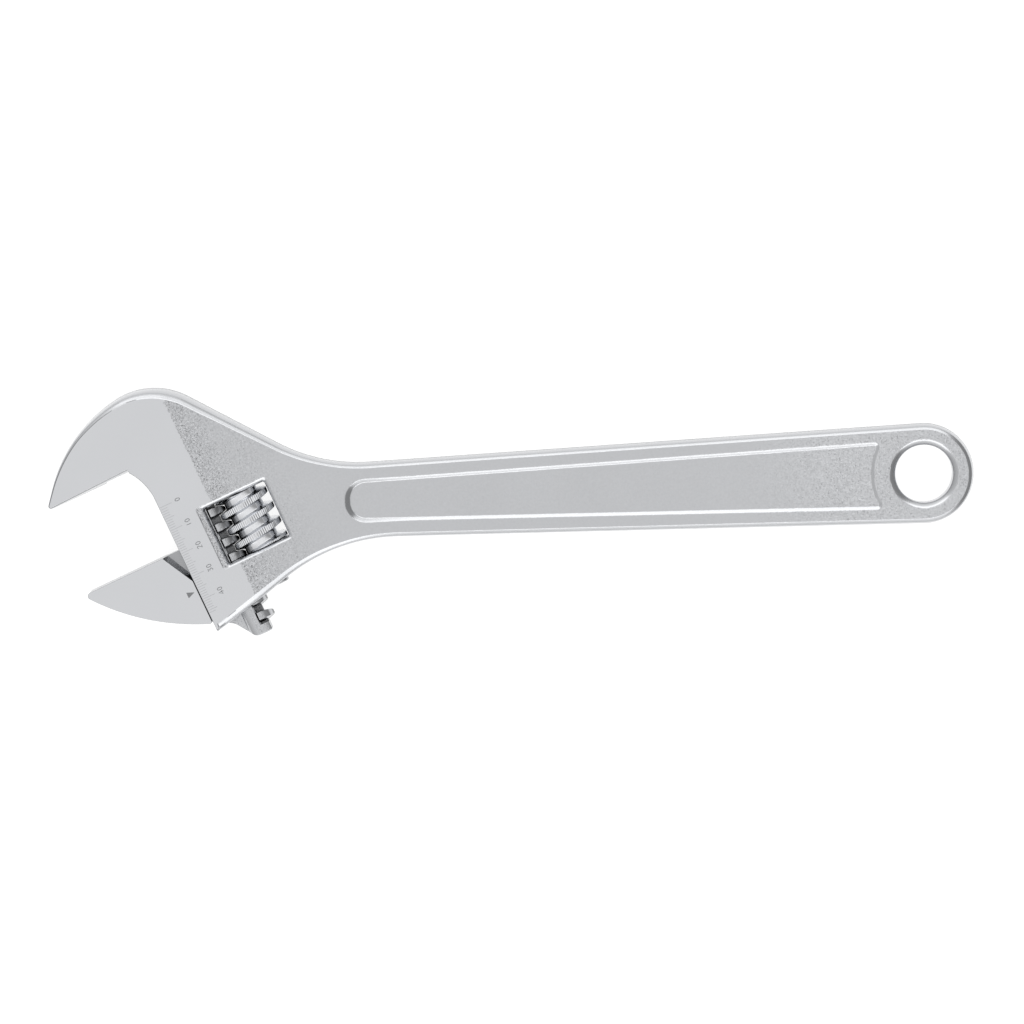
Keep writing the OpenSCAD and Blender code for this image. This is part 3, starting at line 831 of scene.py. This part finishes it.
def painted_rack_shade(m, shade):
    """The shade with painted shade in the rack's gaps and on the tips of the teeth that the worm
    reaches, and painted shade on the web in the throat."""
    height = m.math("ABSOLUTE", m.z)
    # painted shade: the rack's gaps, between the teeth and beside the core, are darkened
    gaps = m.times(
        m.step(m.u, (SLIDE_U - 0.6) * MM, (SLIDE_U - 0.3) * MM),
        m.step(height, 3.2 * MM, 2.0 * MM),
    )
    w = m.math("SUBTRACT", m.times(m.dv, COS), m.times(m.du, SIN))
    # painted shade: the tips of the teeth that sit between the worm's flanks are darkened, with a
    # ragged edge
    ragged_u = m.math("MULTIPLY_ADD", m.plus(m.waves, -0.5), 3.0 * MM, m.u)
    tips = m.times(
        m.step(ragged_u, (SLIDE_U + 0.5) * MM, (RACK_TIP + 0.5) * MM),
        m.step(w, -30 * MM, -27 * MM),
    )
    # painted shade: the web in the throat, recessed under the blade and the body, is darkened
    web = m.times(
        m.step(m.u, (THROAT_U + 1.5) * MM, THROAT_U * MM),
        m.step(height, (WEB_HT + 0.4) * MM, (WEB_HT + 0.1) * MM),
    )
    # the painted shade: gaps down to 0.07, tips to 0.04, and the web part way to 0.2
    for share, dark in ((m.times(gaps, 0.8), 0.07), (tips, 0.04), (m.times(web, 0.6), 0.2)):
        shade = m.mix(share, shade, dark)
    return shade


def steel(name, ground_left_of=None, tone=0.54, grain=1.0, rough=0.3, inked=False, rack=False):
    """Satin chrome plate: rough forging, with a smooth ground face left of u if given. tone is
    its brightness, and grain its skin's depth against the forging's."""
    m = Steel(name)
    forged, coarse, forged_darkening_and_painted_lift = 1.0, 1.0, FORGED_SHADE
    if ground_left_of is not None:
        forged, coarse, forged_darkening_and_painted_lift = forged_area(m, ground_left_of)
    relief = m.times(m.times(coarse, forged), m.flat)
    # the skin: orange peel of about 0.8 mm on the waves, pits, and a fine grain everywhere
    peel = m.noise(m.position, 1250, 3.0, 0.6)
    pits = m.step(m.noise(m.position, 1500, 1.0), 0.4, 0.28)
    fine = m.noise(m.position, 2600, 2.0, 0.6)
    skin = m.math("MULTIPLY_ADD", peel, 0.7, -0.35)
    skin = m.plus(skin, m.math("MULTIPLY_ADD", m.waves, 0.6, -0.3))
    skin = m.math("MULTIPLY_ADD", pits, -0.15, skin)
    skin = m.plus(m.times(skin, relief), m.times(fine, 0.03))
    bump = m.add("ShaderNodeBump", Height=skin, Strength=1.0, Distance=0.00045 * grain)
    m.put(m.shader.inputs["Normal"], bump.outputs[0])
    # the shade: slow clouds, speckles on the skin, and the forging darker than the ground face,
    # with painted light lifting it towards the handle's end
    shade = m.math("MULTIPLY_ADD", m.noise(m.position, 30), 0.03, tone - 0.015)
    speckle = m.times(m.plus(peel, -0.5), 0.3 * grain)
    speckle = m.times(m.math("MULTIPLY_ADD", pits, -0.045, speckle), relief)
    shade = m.plus(shade, m.plus(speckle, m.times(m.times(forged, m.flat), forged_darkening_and_painted_lift)))
    if inked:
        shade = m.mix(ink(m), shade, 0.2)
    # painted shade on the jaw: the rack's gaps, the teeth's tips by the worm, and the web in the
    # throat
    if rack:
        shade = painted_rack_shade(m, shade)
    m.put(m.shader.inputs["Base Color"], m.grey(shade))
    base_rough = m.mix(m.flat, rough - 0.14, rough - 0.04)
    m.put(m.shader.inputs["Roughness"], m.math("MULTIPLY_ADD", fine, 0.08, base_rough))
    m.shader.inputs["Metallic"].default_value = 1.0
    return m.material


def wear(obj, material, body_name, node):
    """Give a finer mesh its material, and put it in place of a CAD node."""
    obj.data.materials.clear()
    obj.data.materials.append(material)
    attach(obj, body_name)
    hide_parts(node)


forged_chrome = steel("forged_chrome", CREST_U + 0.2, inked=True)
ground_chrome = steel("ground_chrome", -29.0, grain=0.4, inked=True, rack=True)
worm_chrome = steel("worm_chrome", tone=0.76, grain=0.3, rough=0.25)
wear(body, forged_chrome, "body", "body")
wear(jaw, ground_chrome, "movable_jaw", "movable_jaw")
wear(thread, worm_chrome, "worm", "worm")
for name, material in (
    ("axle_screw", steel("screw_steel", tone=0.45, grain=0.4, rough=0.35)),
    ("worm_spring", steel("spring_steel", tone=0.4, grain=0.2, rough=0.35)),
):
    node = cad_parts[name]
    node.data.materials.clear()
    node.data.materials.append(material)

# ---------------------------------------------------------------- floor, lights, camera
low, high = cad_box
centre = Vector(((low[0] + high[0]) / 2, (low[1] + high[1]) / 2, 0))
floor_gap, floor_half = 0.0001, 3.0
floor_z = low[2] - floor_gap
floor_shell = Shell()
floor_corners = np.array([(-1, -1), (1, -1), (1, 1), (-1, 1)]) * floor_half
floor_ring = floor_shell.ring(floor_corners / MM, floor_z / MM)
floor_shell.faces.append(tuple(floor_ring))
floor = floor_shell.build("floor")
# the paper glows a little, so that it stays white
paper = Nodes("pale_paper")
grain = paper.noise(paper.tree.nodes.new("ShaderNodeTexCoord").outputs["Object"], 3.0)
pale = paper.math("MULTIPLY_ADD", grain, 0.01, 0.3)
paper.put(paper.shader.inputs["Base Color"], paper.grey(pale, (1, 1, 1)))
paper.shader.inputs["Roughness"].default_value = 0.9
paper.shader.inputs["Specular IOR Level"].default_value = 0.1
paper.shader.inputs["Emission Color"].default_value = (1.0, 1.0, 1.0, 1.0)
paper.shader.inputs["Emission Strength"].default_value = 0.85
floor.data.materials.append(paper.material)

scene = bpy.context.scene
scene.view_settings.view_transform = "Standard"
world = bpy.data.worlds.new("studio")
world.use_nodes = True
sky = world.node_tree
sky.nodes["Background"].inputs[0].default_value = (1.0, 1.0, 1.0, 1.0)
direction = sky.nodes.new("ShaderNodeTexCoord").outputs["Generated"]
split = sky.nodes.new("ShaderNodeSeparateXYZ")
sky.links.new(direction, split.inputs[0])


def band(socket, low, high, at_low, at_high):
    """A ramp of the sky's light between two values of one direction component."""
    node = sky.nodes.new("ShaderNodeMapRange")
    ends = (("From Min", low), ("From Max", high), ("To Min", at_low), ("To Max", at_high))
    for key, number in ends:
        node.inputs[key].default_value = number
    sky.links.new(socket, node.inputs["Value"])
    return node.outputs[0]


# a white room, dark towards the handle's end, and greyer towards the jaws and low down
strength = band(split.outputs[0], 0.4, 0.75, SKY_WHITE, SKY_DARK)
towards_jaws = band(split.outputs[0], -0.85, -0.4, 0.65, 1.0)
low_down = band(split.outputs[2], 0.02, 0.35, 0.68, 1.0)
for share in (towards_jaws, low_down):
    product = sky.nodes.new("ShaderNodeMath")
    product.operation = "MULTIPLY"
    sky.links.new(strength, product.inputs[0])
    sky.links.new(share, product.inputs[1])
    strength = product.outputs[0]
sky.links.new(strength, sky.nodes["Background"].inputs[1])
scene.world = world


def softbox(name, position, size, power):
    """A rectangular area light aimed at the object's middle."""
    light = bpy.data.lights.new(name, "AREA")
    light.shape, light.size, light.size_y = "RECTANGLE", size[0], size[1]
    light.energy = power
    lamp = bpy.data.objects.new(name, light)
    scene.collection.objects.link(lamp)
    lamp.location = centre + Vector(position)
    lamp.rotation_euler = (-Vector(position)).to_track_quat("-Z", "Y").to_euler()


softbox("near_side", (0.05, -1.3, 0.9), (2.4, 0.7), 5.2)
softbox("far_side", (0.05, 1.3, 0.9), (2.4, 0.7), 4.4)

# the camera looks down, turned so that the handle rises to the right
VIEW_WIDTH = 415.54 * MM
DISTANCE = 3.0
SENSOR = 36
TURN, TILT = math.radians(2.72), math.radians(3.5)
aim = Vector((-0.1675, -0.0079, 0))
right = Vector((math.cos(TURN), -math.sin(TURN), 0))
up = Vector((math.sin(TURN), math.cos(TURN), 0))
back = up * math.sin(TILT) + Vector((0, 0, math.cos(TILT)))
camera_data = bpy.data.cameras.new("camera")
camera_data.sensor_width = SENSOR
camera_data.lens = SENSOR * DISTANCE / VIEW_WIDTH
camera_data.clip_end = 20
camera = bpy.data.objects.new("camera", camera_data)
scene.collection.objects.link(camera)
axes = Matrix((right, back.cross(right), back)).transposed().to_4x4()
camera.matrix_world = Matrix.Translation(aim + back * DISTANCE) @ axes
scene.camera = camera
